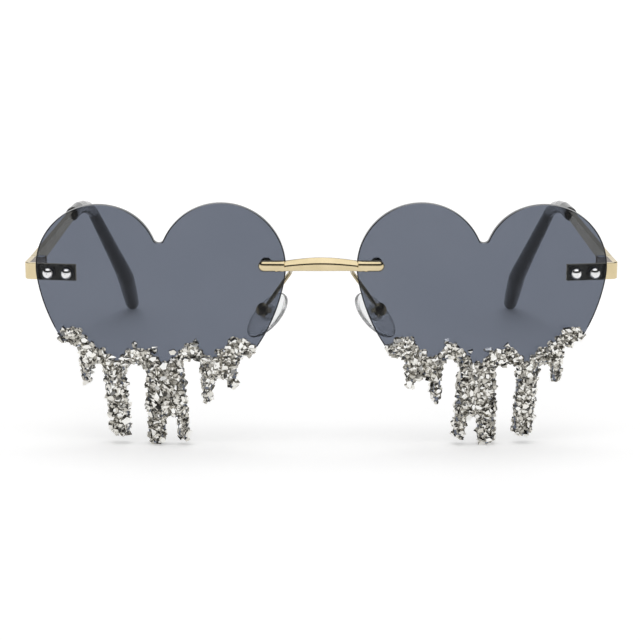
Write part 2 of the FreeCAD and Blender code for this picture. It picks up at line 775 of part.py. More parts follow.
def screw_frames():
    """Frames of the two lens screws, square to the lens at the middle of the end piece."""
    middle = lens_frame(size("end_centre_x"), size("end_z"))
    half = size("screw_spacing / 2")
    return [middle.multiply(Placement(Vector(side * half, 0, 0), Rotation())) for side in (-1, 1)]


def make_end_piece():
    """Plate behind the lens, bent back round its edge to a thick leg with the two outer hinge knuckles."""
    hinge = hinge_frame()
    to_hinge = hinge.inverse().multiply(lens_frame(size("end_centre_x"), size("end_z")))
    inner_x, leg_out = size(strip_side(0)), size(strip_side(1))
    shoulder_x, shoulder_y = -size("knuckle_diameter / 2"), -inner_x
    butt = -size("butt_gap")

    def plate_point(u, v):
        point = to_hinge.multVec(Vector(u, 0, v))
        return Vector(point.x, point.y, 0)

    def corner(leg_x, depth):
        start, slope = plate_point(0, depth), plate_point(1, depth) - plate_point(0, depth)
        return start + slope * ((leg_x - start.x) / slope.x)

    front = size(PLATE_FRONT)
    rear = front + size("end_plate_thickness")
    inner_end = -size("end_plate_inner")
    points = [
        plate_point(inner_end, front), corner(leg_out, front), Vector(leg_out, butt, 0),
        Vector(inner_x, butt, 0), Vector(inner_x, shoulder_y, 0), Vector(shoulder_x, shoulder_y, 0),
        corner(shoulder_x, rear), plate_point(inner_end, rear),
    ]
    body = add("PartDesign::Body", "end_body")
    body.Placement = hinge
    plan = sketch_in(body, "XY_Plane", "end_plan", "end_z - strip_height / 2")
    plan.addGeometry(polyline(points))
    raised = pad(body, plan, "strip_height")
    bend = body.newObject("PartDesign::Fillet", "end_bend")
    bend.Base = (raised, [upright_edge(raised, points[1])])
    bind(bend, Radius="end_bend_radius")
    doc.recompute()
    barrels = [
        knuckle(f"end_knuckle_{level}", level, ("- knuckle_diameter / 2", "- butt_gap"))
        for level in (0, 2)
    ]
    holes = [
        bar(f"end_hole_{index}", "screw_diameter + 2 * fit", "lens_thickness * 4", frame)
        for index, frame in enumerate(screw_frames())
    ]
    bore = bar("end_bore", "hinge_pin_diameter + 2 * fit", "end_z * 2", hinge)
    sink = "end_z + strip_height / 2 - hinge_head_height"
    head = bar("end_head_sink", "hinge_head_diameter + 2 * fit", "strip_height", hinge, f"- ( {sink} )")
    blank = fuse("end_blank", body, *barrels)
    return cut("end_piece", blank, fuse("end_cuts", bore, head, *holes))


def upright_edge(feature, point):
    """Name of the upright edge of a padded plan at one of its corners."""
    for index, edge in enumerate(feature.Shape.Edges):
        ends = [vertex.Point for vertex in edge.Vertexes]
        if all(hypot(end.x - point.x, end.y - point.y) < 1e-6 for end in ends):
            return f"Edge{index + 1}"
    raise ValueError("no upright edge at this corner")


def strip_side(side):
    """Distance of the strip's inner (0) or outer (1) face from the hinge axis."""
    return f"knuckle_diameter / 2 + running_fit + {side} * strip_thickness"


def knuckle(name, level, web_y):
    """One hinge knuckle with the web that joins it to the strip, at level 0, 1 or 2 from below."""
    hinge = hinge_frame()
    height = "( strip_height - 2 * knuckle_gap ) / 3"
    low = f"end_z - strip_height / 2 + {level} * ( {height} + knuckle_gap )"
    barrel = bar(f"{name}_barrel", "knuckle_diameter", height, hinge, f"- ( {low} )")
    web = block(
        f"{name}_web", ("0", web_y[0], low),
        (f"{strip_side(0)} + strip_thickness / 2", web_y[1], f"{low} + {height}"), hinge,
    )
    return fuse(name, barrel, web)


def make_lens_screws():
    """Dome-headed screws through lens and plate, with their bushes, washers and nuts."""
    screws, bushes, washers, nuts = [], [], [], []
    bore = "screw_diameter + 2 * fit"
    for index, frame in enumerate(screw_frames()):
        seat = "bush_flange + fit"
        head = dome(f"screw_head_{index}", "screw_head_diameter", "screw_head_height", frame, seat)
        plate_back = f"{PLATE_FRONT} + end_plate_thickness + fit"
        reach = f"{seat} + {plate_back} + nut_thickness + thread_proud"
        shank = bar(f"screw_shank_{index}", "screw_diameter", reach, frame, seat)
        screws.append(fuse(f"lens_screw_{index}", head, shank))
        bushes.append(
            make_bush(f"lens_bush_{index}", "screw_diameter", "screw_head_diameter", frame, False)
        )
        washers.append(make_ring(
            f"lens_washer_{index}", "washer_diameter", f"{bore} + 2 * bush_wall + 2 * fit",
            "washer_thickness", frame, "- ( lens_thickness + fit )",
        ))
        nuts.append(make_nut(f"lens_nut_{index}", "lens_nut_width", bore, frame, f"- ( {plate_back} )"))
    return {
        "lens_screws": group("lens_screws", *screws),
        "lens_bushes": group("lens_bushes", *bushes),
        "lens_washers": group("lens_washers", *washers),
        "lens_nuts": group("lens_nuts", *nuts),
    }


def make_hinge_screw():
    hinge = hinge_frame()
    low, high = "end_z - strip_height / 2", "end_z + strip_height / 2 - hinge_head_height"
    shank = bar("hinge_pin", "hinge_pin_diameter", f"{high} - ( {low} )", hinge, f"- ( {low} )")
    head = bar("hinge_head", "hinge_head_diameter", "hinge_head_height", hinge, f"- ( {high} )")
    return fuse("hinge_screw", shank, head)


def tip_route(name, stop="0"):
    """Centre line of the tip: level, falling, bent down behind the ear, ending before its end by a stop."""
    side = size(strip_side(0)) + size("strip_thickness / 2")
    points = [
        Vector(side, size("sleeve_start"), size("sleeve_z")),
        Vector(side, size("tip_crown_y"), size("sleeve_z")),
        Vector(side, size("tip_bend_y"), size("tip_bend_z")),
        Vector(side - size("tip_knee_inset"), size("tip_knee_y"), size("tip_knee_z")),
        Vector(side - size("tip_inset"), size("tip_end_y"), size("tip_end_z")),
    ]
    last_run = points[-1] - points[-2]
    points[-1] -= last_run * (size(stop) / last_run.Length)
    hinge = hinge_frame()
    radii = [size("tip_crown_radius"), size("tip_bend_radius"), size("tip_knee_radius")]
    return route(name, [hinge.multVec(point) for point in points], radii)


def make_temple():
    """Tapered flat strip with the middle hinge knuckle, and a tang and core wire inside the tip."""
    hinge = hinge_frame()
    body = add("PartDesign::Body", "strip_body")
    body.Placement = hinge
    side_view = sketch_in(body, "YZ_Plane", "strip_side_view", strip_side(0))
    end = size("sleeve_start")
    low, high = size("end_z - strip_height / 2"), size("end_z + strip_height / 2")
    end_low, end_high = size("sleeve_z - strip_end_height / 2"), size("sleeve_z + strip_end_height / 2")
    side_view.addGeometry(polyline([
        Vector(0, low, 0), Vector(end, end_low, 0), Vector(end, end_high, 0), Vector(0, high, 0),
    ]))
    pad(body, side_view, "strip_thickness")
    barrel = knuckle("temple_knuckle", 1, ("0", "knuckle_diameter / 2"))
    half = "( strip_end_height / 2 - tang_step )"
    tang = block(
        "strip_tang", (f"{strip_side(0)} + tang_step", "sleeve_start - tang_lap", f"sleeve_z - {half}"),
        (f"{strip_side(1)} - tang_step", "sleeve_start + tang_lap", f"sleeve_z + {half}"), hinge,
    )
    core = wire_along("core_wire", tip_route("core_route", "core_wire_stop"), "core_wire_diameter")
    bore = bar("temple_bore", "hinge_pin_diameter + 2 * running_fit", "end_z * 2", hinge)
    return cut("temple", fuse("temple_blank", body, barrel, tang, core), bore)


def tip_sections(length):
    """Way, height and width of every section of the tip, changing evenly from knot to knot."""
    knots = [
        [0, size("mouth_height"), size("mouth_width")],
        [size("collar_length"), size("collar_height"), size("collar_width")],
    ]
    for index in range(1, len(SLEEVE) + 1):
        before_end, height, width = [size(f"sleeve{index}_{name}") for name in SLEEVE_SIZES]
        knots.append([length - before_end, height, width])
    sections = knots[:1]
    for start, end in zip(knots, knots[1:]):
        steps = max(1, round((end[0] - start[0]) / size("tip_step")))
        for step in range(1, steps + 1):
            sections.append([low + (high - low) * step / steps for low, high in zip(start, end)])
    return sections


def make_temple_tip(temple):
    """Black tip lofted through oval sections along its route, hollow where the temple's metal runs."""
    path = tip_route("tip_route")
    ovals = []
    for way, height, width in tip_sections(path.Shape.Length):
        point, direction = along(path, way)
        sideways = direction.cross(UP).normalize()
        upwards = sideways.cross(direction)
        oval = add("Part::Ellipse", f"tip_oval_{len(ovals)}")
        oval.MajorRadius = max(height, width) / 2
        oval.MinorRadius = min(height, width) / 2
        oval.Placement = Placement(point, Rotation(upwards, direction.cross(upwards), direction, "ZXY"))
        ovals.append(oval)
    loft = add("Part::Loft", "tip_loft")
    loft.Sections = ovals
    loft.Solid = True
    loft.Ruled = True
    return cut("temple_tip", loft, temple)


def both_sides(name, left):
    """The left piece and its mirror image on the right."""
    right = add("Part::Mirroring", f"right_{name}")
    right.Source = left
    right.Normal = Vector(1, 0, 0)
    left.Label = f"left_{name}"
    right.Label = f"right_{name}"
    return [left, right]


def depth_centre():
    """Middle of the depth between the bridge's front and the ends of the tips."""
    foremost = size("bridge_axis_y - lug_diameter / 2")
    turn = radians(size("temple_turn"))
    side = size(strip_side(0)) + size("strip_thickness / 2 - tip_inset")
    rearmost = size("hinge_y") + size("tip_end_y") * cos(turn) + side * sin(turn)
    return (foremost + rearmost) / 2


def check_and_write(pieces):
    """Stop on any failed object, then write every piece to its own file."""
    doc.recompute()
    for obj in doc.Objects:
        if {"Invalid", "Error"} & set(obj.State):
            raise RuntimeError(f"{obj.Name} failed: {obj.State}")
    for piece in pieces:
        if piece.Shape.isNull() or not piece.Shape.isValid() or not piece.Shape.Solids:
            raise RuntimeError(f"{piece.Label} has no valid solid")
    os.makedirs("parts", exist_ok=True)
    for piece in pieces:
        piece.Shape.exportStep(f"parts/{piece.Label}.step")


fill_sheet()
front_y = -depth_centre()
outline = lens_outline()
bridge = make_bridge()
bridge.Label = "bridge"
pad_core = make_pad_core()
temple = make_temple()
doc.recompute()

left_side = {
    "lens": make_lens(outline),
    "crystals": make_stones(outline),
    **make_bridge_fixings(),
    "pad_arm": make_pad_arm(bridge),
    "pad_screw": make_pad_screw(),
    "pad_core": pad_core,
    "nose_pad": make_nose_pad(pad_core),
    "end_piece": make_end_piece(),
    **make_lens_screws(),
    "hinge_screw": make_hinge_screw(),
    "temple": temple,
    "temple_tip": make_temple_tip(temple),
}
pieces = [bridge]
for name, left in left_side.items():
    pieces += both_sides(name, left)
check_and_write(pieces)
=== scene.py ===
import random
from math import asin, cos, pi, radians, sin, sqrt, tau

import bmesh
import bpy
from mathutils import Matrix, Vector
from mathutils.bvhtree import BVHTree


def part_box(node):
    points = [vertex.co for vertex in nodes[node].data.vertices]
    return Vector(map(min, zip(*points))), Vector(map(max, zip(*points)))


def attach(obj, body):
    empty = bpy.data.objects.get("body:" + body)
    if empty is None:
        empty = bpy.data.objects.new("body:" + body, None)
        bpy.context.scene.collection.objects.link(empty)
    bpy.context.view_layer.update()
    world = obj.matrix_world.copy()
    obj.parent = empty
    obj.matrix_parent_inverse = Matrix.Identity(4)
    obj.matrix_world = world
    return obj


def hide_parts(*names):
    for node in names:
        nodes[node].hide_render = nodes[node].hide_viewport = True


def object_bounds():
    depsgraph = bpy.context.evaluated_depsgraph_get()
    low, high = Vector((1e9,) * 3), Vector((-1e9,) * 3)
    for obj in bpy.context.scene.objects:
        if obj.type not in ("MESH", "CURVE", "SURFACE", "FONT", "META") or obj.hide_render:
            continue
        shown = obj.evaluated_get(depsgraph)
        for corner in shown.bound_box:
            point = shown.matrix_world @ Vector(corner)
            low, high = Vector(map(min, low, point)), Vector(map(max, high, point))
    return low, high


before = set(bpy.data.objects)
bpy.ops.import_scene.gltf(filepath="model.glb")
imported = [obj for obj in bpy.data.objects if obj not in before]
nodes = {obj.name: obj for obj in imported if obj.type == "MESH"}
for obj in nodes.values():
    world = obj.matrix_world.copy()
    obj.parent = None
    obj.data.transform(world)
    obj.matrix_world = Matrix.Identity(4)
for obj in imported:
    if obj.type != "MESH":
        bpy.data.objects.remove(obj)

MM = 0.001
SIDES = {"left": 1, "right": -1}
WHITE = (1.0, 1.0, 1.0)
cad_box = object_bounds()

# Camera: distance to the lens fronts, pitch down, focal length, nearest distance that it draws,
# width of its sensor, height of its aim, and the part's middle column in a square frame of pixels
CAMERA_REACH = 540 * MM
CAMERA_PITCH = 14.5
CAMERA_FOCUS = 124.09
CAMERA_NEAR = 0.01
SENSOR = 36.0
AIM_Z = 32.2 * MM
FRAME_PIXELS = 640
AXIS_PIXEL = 321.3

# Light: level of the world's light, and how bright the world is seen at each height: white with a
# dark ring high up
WORLD_LIGHT = 0.38
SURROUND = ((0.0, 1.0), (0.30, 1.0), (0.37, 0.02), (0.82, 0.02), (0.88, 1.0))
# Lamps: size, watts, place, turn from straight down, and whether metal mirrors it
LAMPS = {
    "key": ((1.1, 0.9), 7.0, (0, 0, 1.3), 0, False),
    "ceiling": ((2.4, 2.0), 4.0, (0, 0, 1.4), 0, True),
    "behind": ((1.8, 0.5), 2.6, (0, 1.4, 0.45), -72, False),
}

# Floor: half its width, its grey, and its own glow to the eye at each share of that half width
FLOOR_REACH = 4.0
FLOOR_GREY = (0.8, 0.8, 0.8, 1)
FLOOR_ROUGHNESS = 0.9
FLOOR_GLOW = ((0.0375, 0.36), (0.30, 0.52), (0.80, 0.74))

# Finishes: where noise turns from dull to bright, depth of wipe marks, painted shade on the gold of
# the hinge blocks, and depth of the darker gold that paints shade on the pad arms
CLOUD_STOPS = (0.3, 0.7)
MARK_DEPTH = 0.02 * MM
HINGE_SHADE_TONE = (0.16, 0.12, 0.08)
SHADED_GOLD_DEPTH = 0.55

# Edge roundings: reach that joins split corners, widths on the metal pieces, and the turn in
# degrees from which an edge is rounded
WELD_REACH = 0.001 * MM
ROUNDINGS = {
    "end_piece": 0.12 * MM, "temple": 0.12 * MM, "lens_nuts": 0.08 * MM, "bridge_nut": 0.08 * MM,
}
EDGE_TURN = 35
# The bar's own rounding: only between two turns, with facets under a small turn made one flat
BAR_ROUNDING = 0.42 * MM
BAR_TURNS = (47, 64)
BAR_SEGMENTS = 5
FLAT_TURN = 0.05

# Lens sheet: thickness, radius of its upright cylinder, how far the bar stands in front of it, and
# depth of its front at X = 0
LENS_THICKNESS = 1.6 * MM
LENS_CURVE = 500 * MM
BAR_FRONT = 2.425 * MM
LENS_FRONT = cad_box[0][1] + BAR_FRONT
# Least share by which the sheet's front faces forward, and most by which its edge walls do
FRONT_FACING = 0.9
WALL_FACING = 0.6

# Ground corner along a lens's steep edges, near black as painted shade: full width, steepness where
# it starts and where it is full, how far it stands proud, and its wrap round the edge as a share of
# its width
CORNER_WIDTH = 0.28 * MM
CORNER_STEEP = (0.25, 0.75)
CORNER_PROUD = 0.012 * MM
CORNER_WRAP = 0.24

# Crust of crushed mirror: how far it reaches past the lens and from the solid stones, its trim at
# the upper edge, the rounding and crown of its drips, and its lean over their edges in degrees
CRUST_OVERHANG = 0.30 * MM
STONE_REACH = 0.60 * MM
CRUST_TRIM = 0.50 * MM
DRIP_ROUNDING = 1.7 * MM
DRIP_CROWN = 0.80 * MM
DRIP_LEAN = 80
# Its spots: tries in each square of the pitch, nearness that counts as on the lens, and depths in
# the sheet of those past its edge
TRIES_PER_SQUARE = 24
ON_LENS = 0.02 * MM
EDGE_DEPTHS = (0.1, 0.9)

# Dark bed under the chips, its darkness painted shade in the gaps between them: pitch and width of
# its dabs, half the least width, their corners, rings as (share of the width, height), how far
# corners stray, and tones
BED_PITCH = 0.80 * MM
BED_WIDTH = 1.6 * MM
BED_LEAST = 0.3 * MM
BED_CORNERS = 7
BED_RINGS = ((0.5, -0.05 * MM), (0.3, 0.22 * MM))
BED_STRAY = (0.9, 1.1)
BED_TONES = (0.25, 0.5)

# Chips: each layer's spacing, widths, heights, and how far it stands off the bed
CHIP_LAYERS = (
    (1.00 * MM, (1.20 * MM, 1.75 * MM), (0.40 * MM, 0.75 * MM), 0.0),
    (1.50 * MM, (1.25 * MM, 1.90 * MM), (0.45 * MM, 0.85 * MM), 0.40 * MM),
    (2.90 * MM, (1.60 * MM, 2.20 * MM), (0.55 * MM, 0.90 * MM), 0.60 * MM),
)
# Tilt of the lowest layer and what each layer above adds, in degrees, and the share of their height
# that chips past the edge keep
CHIP_TILT = 16
LAYER_TILT = 8
EDGE_CHIP_HEIGHT = 0.6
# Form of a chip: numbers of corners, stretch, slope of its face, how far corners stray round it
# and outwards, taper of its sides, share of its height at the middle, least height, and sink of
# its foot
CHIP_CORNERS = (3, 4, 4, 5, 5, 6)
CHIP_STRETCH = (0.75, 1.3)
CHIP_SLOPE = (-0.5, 0.5)
CHIP_SHIFT = (-0.3, 0.3)
CHIP_STRAY = (0.75, 1.2)
CHIP_TAPER = (0.7, 0.98)
CHIP_MIDDLE = 0.8
CHIP_LEAST = 0.12 * MM
CHIP_SINK = 0.1 * MM
# Share of chips with a ridged face, and rise of the ridge as a share of the height
RIDGED_SHARE = 0.5
RIDGE_RISE = (0.1, 0.35)
# Painted reflection and shade on a chip: tones of its foot, sides and face, and how the facets of a
# ridged face differ
FOOT_TONE = 0.1
SIDE_TONES = (0.25, 0.85)
FACE_TONES = (0.97, 0.95, 0.92, 0.88, 0.82, 0.74, 0.64, 0.48)
FACET_TONES = (-0.35, 0.15)
# Single chips above the crust's upper edge, in mm: places on the lens, widths and heights; and tilt
LOOSE_CHIPS = ((46.0, 25.2), (41.2, 24.2), (36.6, 23.8), (30.8, 26.5))
LOOSE_WIDTHS = (1.7, 2.3)
LOOSE_HEIGHTS = (0.5, 0.9)
LOOSE_TILT = 25

# Painted shade on the hinge blocks, in a dark bronze tone: middle in the left half, with Y turned
# to the front, half sizes, turn, and blur of that shade
HINGE = (70.14 * MM, 56.51 * MM)
HINGE_HALF = (1.41 * MM, 4.2 * MM)
HINGE_TURN = 5.0
HINGE_BLUR = 0.03 * MM

# Nose pads, in the frame of their pivots: as the solids behind them
PAD_SPLAY = 41.3
PAD_TURN = 43.7
PAD_PIVOT = (14.1 * MM, 8.1 * MM, 32.6 * MM)
PAD_LENGTH = 13.8 * MM
PAD_WIDTH = 7.3 * MM
PAD_THICKNESS = 2.2 * MM
PAD_DROP = 0.8 * MM
PAD_STANDOFF = 1.1 * MM
# Cushion: rings and steps of its mesh, powers that make its rim full and its faces flat, taper to
# its lower end, and the painted shade on its rim: power by which it falls off, its even share, and
# what the lower end adds
PAD_RINGS, PAD_STEPS = 14, 56
PAD_FULLNESS = 0.42
PAD_FLATNESS = -0.3
PAD_TAPER = 0.06
RIM_FALL = 3
RIM_EVEN, RIM_LOWER = 0.68, 0.32


def set_stops(ramp, stops):
    """Fill a colour ramp from (place, colour) pairs."""
    elements = ramp.color_ramp.elements
    while len(elements) < len(stops):
        elements.new(0.5)
    for element, (place, colour) in zip(elements, stops):
        element.position = place
        element.color = (*colour, 1.0)


def greys(levels):
    """Plain grey stops of a ramp, from (place, level) pairs."""
    return [(place, (level, level, level)) for place, level in levels]


class Paint:
    """A node material with one Principled shader and short ways to wire textures into it."""

    def __init__(self, name, **values):
        self.material = bpy.data.materials.new(name)
        self.material.use_nodes = True
        self.tree = self.material.node_tree
        self.shader = self.tree.nodes["Principled BSDF"]
        for socket, value in values.items():
            self.shader.inputs[socket.replace("_", " ")].default_value = value

    def add(self, kind, **values):
        """A new node with the given settings."""
        node = self.tree.nodes.new(kind)
        for name, value in values.items():
            setattr(node, name, value)
        return node

    def link(self, source, target):
        """Wire one socket to another."""
        self.tree.links.new(source, target)

    def place(self):
        """Place on the object, in its own metres."""
        return self.add("ShaderNodeTexCoord").outputs["Object"]

    def noise(self, scale, detail=3.0):
        """Noise over the object."""
        texture = self.add("ShaderNodeTexNoise")
        self.link(self.place(), texture.inputs["Vector"])
        texture.inputs["Scale"].default_value = scale
        texture.inputs["Detail"].default_value = detail
        return texture.outputs["Fac"]

    def attribute(self, name):
        """A number that the mesh carries."""
        return self.add("ShaderNodeAttribute", attribute_name=name).outputs["Fac"]

    def ramp(self, factor, stops):
        """Colours along a factor, from (place, colour) pairs."""
        ramp = self.add("ShaderNodeValToRGB")
        set_stops(ramp, stops)
        self.link(factor, ramp.inputs["Fac"])
        return ramp.outputs["Color"]

    def spread(self, factor, low, high, start=0.0, end=1.0):
        """A factor mapped to a range of plain numbers."""
        spread = self.add("ShaderNodeMapRange")
        spread.inputs["From Min"].default_value = start
        spread.inputs["From Max"].default_value = end
        spread.inputs["To Min"].default_value = low
        spread.inputs["To Max"].default_value = high
        self.link(factor, spread.inputs["Value"])
        return spread.outputs["Result"]

    def vector(self, operation, source, value=(0, 0, 0)):
        """A vector operation on a source, with a fixed second vector."""
        node = self.add("ShaderNodeVectorMath", operation=operation)
        self.link(source, node.inputs[0])
        node.inputs[1].default_value = value
        return node.outputs["Value" if operation in ("DOT_PRODUCT", "LENGTH") else "Vector"]

    def number(self, operation, *sources):
        """A plain number worked out from one or two others."""
        node = self.add("ShaderNodeMath", operation=operation)
        for source, socket in zip(sources, node.inputs):
            self.link(source, socket)
        return node.outputs["Value"]

    def colour(self, factor, stops, shade=None):
        """Base colour along a factor, multiplied by a shade."""
        tint = self.ramp(factor, stops)
        if shade:
            mix = self.add("ShaderNodeMix", data_type="RGBA", blend_type="MULTIPLY")
            mix.inputs["Factor"].default_value = 1.0
            self.link(tint, mix.inputs["A"])
            self.link(shade, mix.inputs["B"])
            tint = mix.outputs["Result"]
        self.link(tint, self.shader.inputs["Base Color"])
        return self

    def clouds(self, factor, dull, bright, shade=None):
        """Base colour in soft clouds between two tones."""
        return self.colour(factor, tuple(zip(CLOUD_STOPS, (dull, bright))), shade)

    def gloss(self, factor, low, high):
        """Roughness that wanders between two values."""
        self.link(self.spread(factor, low, high), self.shader.inputs["Roughness"])
        return self

    def relief(self, factor, strength):
        """Fine marks in the surface."""
        bump = self.add("ShaderNodeBump")
        bump.inputs["Strength"].default_value = strength
        bump.inputs["Distance"].default_value = MARK_DEPTH
        self.link(factor, bump.inputs["Height"])
        self.link(bump.outputs["Normal"], self.shader.inputs["Normal"])
        return self


def lens_paint():
    """Grey tinted sheet, clear through, with faint clouds in its tint and ground edge walls
    darkened with painted shade.
    """
    paint = Paint("tinted_lens", Transmission_Weight=1.0, IOR=1.25, Roughness=0.0)
    normal = paint.add("ShaderNodeTexCoord").outputs["Normal"]
    facing = paint.vector("DOT_PRODUCT", paint.vector("ABSOLUTE", normal), (0, 1, 0))
    # Painted shade: the edge walls turn near black, standing in for the dark line that refraction
    # gives there.
    edge = paint.ramp(facing, greys(((0.70, 0.04), (0.94, 1.0))))
    deep, light = (0.134, 0.151, 0.191), (0.144, 0.161, 0.201)
    return paint.clouds(paint.noise(35, 2), deep, light, shade=edge).material


def hinge_shade(paint):
    """Painted shade in a dark bronze tone on the hinge blocks with their knuckles, and white
    elsewhere.
    """
    way = paint.vector("SUBTRACT", paint.vector("ABSOLUTE", paint.place()), (*HINGE, 0))
    turn = radians(HINGE_TURN)
    axes = (cos(turn), -sin(turn), 0), (sin(turn), cos(turn), 0)
    outside = []
    for axis, reach in zip(axes, HINGE_HALF):
        along = paint.number("ABSOLUTE", paint.vector("DOT_PRODUCT", way, axis))
        outside.append(paint.spread(along, 0, 1, reach, reach + HINGE_BLUR))
    return paint.ramp(paint.number("MAXIMUM", *outside), ((0, HINGE_SHADE_TONE), (1, WHITE)))


def gold_paint(name="gold_metal", depth=1.0):
    """Pale gold plating, polished, with fine wipe marks and painted shade on the hinge blocks; a
    lower depth gives a darker copy of it, as painted shade.
    """
    paint = Paint(name, Metallic=1.0)
    cloud, grain = paint.noise(240), paint.noise(2600, 5)
    tints = (0.66, 0.55, 0.335), (0.74, 0.62, 0.395)
    dull, bright = [[level * depth for level in tint] for tint in tints]
    # Painted shade: the hinge blocks and their knuckles are darkened to bronze.
    paint.clouds(cloud, dull, bright, shade=hinge_shade(paint))
    return paint.gloss(grain, 0.10, 0.22).relief(grain, 0.05).material


def edge_shade_paint():
    """Ground lens edge, nearly black as painted shade, with fine grinding marks."""
    paint = Paint("ground_edge_shade", IOR=1.3)
    grain = paint.noise(1800, 4)
    # Painted shade: near-black tones for the dark line along the lens's steep edges.
    paint.clouds(grain, (0.010, 0.011, 0.014), (0.020, 0.022, 0.027))
    return paint.gloss(grain, 0.3, 0.5).material


def steel_paint():
    """Polished steel of the small fasteners."""
    paint = Paint("steel", Metallic=1.0)
    cloud, grain = paint.noise(400), paint.noise(3200, 5)
    paint.clouds(cloud, (0.72, 0.72, 0.73), (0.84, 0.84, 0.84))
    return paint.gloss(grain, 0.08, 0.2).relief(grain, 0.05).material


def nylon_paint():
    """Clear nylon of bushes and washers, slightly milky."""
    paint = Paint("clear_nylon", Transmission_Weight=0.6, IOR=1.5)
    cloud = paint.noise(500)
    paint.clouds(cloud, (0.80, 0.80, 0.78), (0.88, 0.88, 0.86))
    return paint.gloss(cloud, 0.25, 0.4).material


def core_paint():
    """Hard clear insert of a nose pad."""
    paint = Paint("clear_core", Transmission_Weight=0.85, IOR=1.5)
    cloud = paint.noise(450)
    paint.clouds(cloud, (0.86, 0.86, 0.85), (0.92, 0.92, 0.91))
    return paint.gloss(cloud, 0.08, 0.18).material


def silicone_paint():
    """Clear soft silicone with a satin skin, and painted shade on its rim, heaviest at the lower
    end.
    """
    paint = Paint("silicone", Transmission_Weight=0.95, IOR=1.41)
    cloud, skin = paint.noise(180), paint.noise(2400, 4)
    painted_rim_shade = paint.ramp(paint.attribute("rim"), ((0.2, WHITE), (1.0, (0.14, 0.145, 0.155))))
    paint.clouds(cloud, (0.90, 0.91, 0.92), (0.95, 0.955, 0.96), shade=painted_rim_shade)
    return paint.gloss(cloud, 0.1, 0.2).relief(skin, 0.06).material


def tip_paint():
    """Polished black plastic with faint handling marks."""
    paint = Paint(
        "black_acetate", IOR=1.5, Specular_IOR_Level=0.1, Coat_Weight=0.85, Coat_Roughness=0.08,
    )
    cloud, skin = paint.noise(140), paint.noise(1800, 4)
    paint.clouds(cloud, (0.005, 0.005, 0.006), (0.008, 0.008, 0.009))
    return paint.gloss(cloud, 0.2, 0.3).relief(skin, 0.008).material


def chip_paint():
    """Crushed mirror with painted reflection and shade: each facet has its own tone, from black
    sides to bright silver, for what it mirrors.
    """
    paint = Paint("crushed_mirror", Metallic=1.0)
    paint.colour(paint.attribute("painted_light"), (
        (0.0, (0.04, 0.04, 0.036)), (0.25, (0.25, 0.24, 0.215)), (0.5, (0.60, 0.58, 0.53)),
        (0.75, (0.84, 0.825, 0.78)), (1.0, (0.94, 0.94, 0.925)),
    ))
    return paint.gloss(paint.noise(1500), 0.10, 0.28).material


def wear(obj, material):
    """Give an object one material in place of those it has."""
    obj.data.materials.clear()
    obj.data.materials.append(material)


def rounded(obj, width, angle=EDGE_TURN, most=None, segments=2):
    """Small rounding along an object's edges that turn by more than an angle and less than a most.

    The corners that the model's file splits along sharp edges are joined first.
    """
    obj.modifiers.new("joined_corners", "WELD").merge_threshold = WELD_REACH
    if most:
        flat = obj.modifiers.new("whole_flats", "DECIMATE")
        flat.decimate_type = "DISSOLVE"
        flat.angle_limit = radians(FLAT_TURN)
        obj.modifiers.new("hard_edges", "EDGE_SPLIT").split_angle = radians(most)
    bevel = obj.modifiers.new("edge_rounding", "BEVEL")
    bevel.width = width
    bevel.segments = segments
    bevel.limit_method = "ANGLE"
    bevel.angle_limit = radians(angle)
    bevel.use_clamp_overlap = False
    bevel.loop_slide = False
    bevel.face_strength_mode = "FSTR_ALL"
    obj.modifiers.new("even_shading", "WEIGHTED_NORMAL").use_face_influence = True


def mesh_piece(name, shape, material):
    """New object from a bmesh."""
    mesh = bpy.data.meshes.new(name)
    shape.to_mesh(mesh)
    shape.free()
    mesh.materials.append(material)
    obj = bpy.data.objects.new(name, mesh)
    bpy.context.scene.collection.objects.link(obj)
    return obj


def search_tree(mesh, faces):
    """Search tree for the nearest place on some of a mesh's faces."""
    points = [vertex.co for vertex in mesh.vertices]
    return BVHTree.FromPolygons(points, [tuple(face.vertices) for face in faces])


def node_tree(node):
    """Search tree of a whole node."""
    mesh = nodes[node].data
    return search_tree(mesh, mesh.polygons)


def wall_tree(side):
    """Search tree of the edge walls of one lens, without its front and back."""
    mesh = nodes[f"{side}_lens"].data
    return search_tree(mesh, [face for face in mesh.polygons if abs(face.normal.y) < WALL_FACING])


def lens_front(x):
    """Depth of the lens front at a sideways place."""
    return LENS_FRONT + LENS_CURVE - sqrt(LENS_CURVE ** 2 - x ** 2)


def lens_frame(x, z, proud=0.0):
    """Frame on the lens front: X sideways, Y up and Z out of the lens to the front."""
    lean = asin(x / LENS_CURVE)
    out = Vector((sin(lean), -cos(lean), 0))
    sideways = Vector((cos(lean), sin(lean), 0))
    place = Vector((x, lens_front(x), z)) + out * proud
    turn = Matrix((sideways, Vector((0, 0, 1)), out)).transposed()
    return Matrix.Translation(place) @ turn.to_4x4()


def lens_outline(side):
    """Corners of one lens's front outline in order, without its drilled holes."""
    shape = bmesh.new()
    shape.from_mesh(nodes[f"{side}_lens"].data)
    bmesh.ops.remove_doubles(shape, verts=shape.verts, dist=WELD_REACH)
    onward = {}
    for face in shape.faces:
        if face.normal.y > -FRONT_FACING:
            continue
        for loop in face.loops:
            if abs(loop.link_loop_radial_next.face.normal.y) < WALL_FACING:
                onward[loop.vert] = loop.link_loop_next.vert
    outlines = []
    while onward:
        first, after = onward.popitem()
        outline = [first.co.copy()]
        while after is not first:
            outline.append(after.co.copy())
            after = onward.pop(after)
        outlines.append(outline)
    shape.free()
    return max(outlines, key=len)


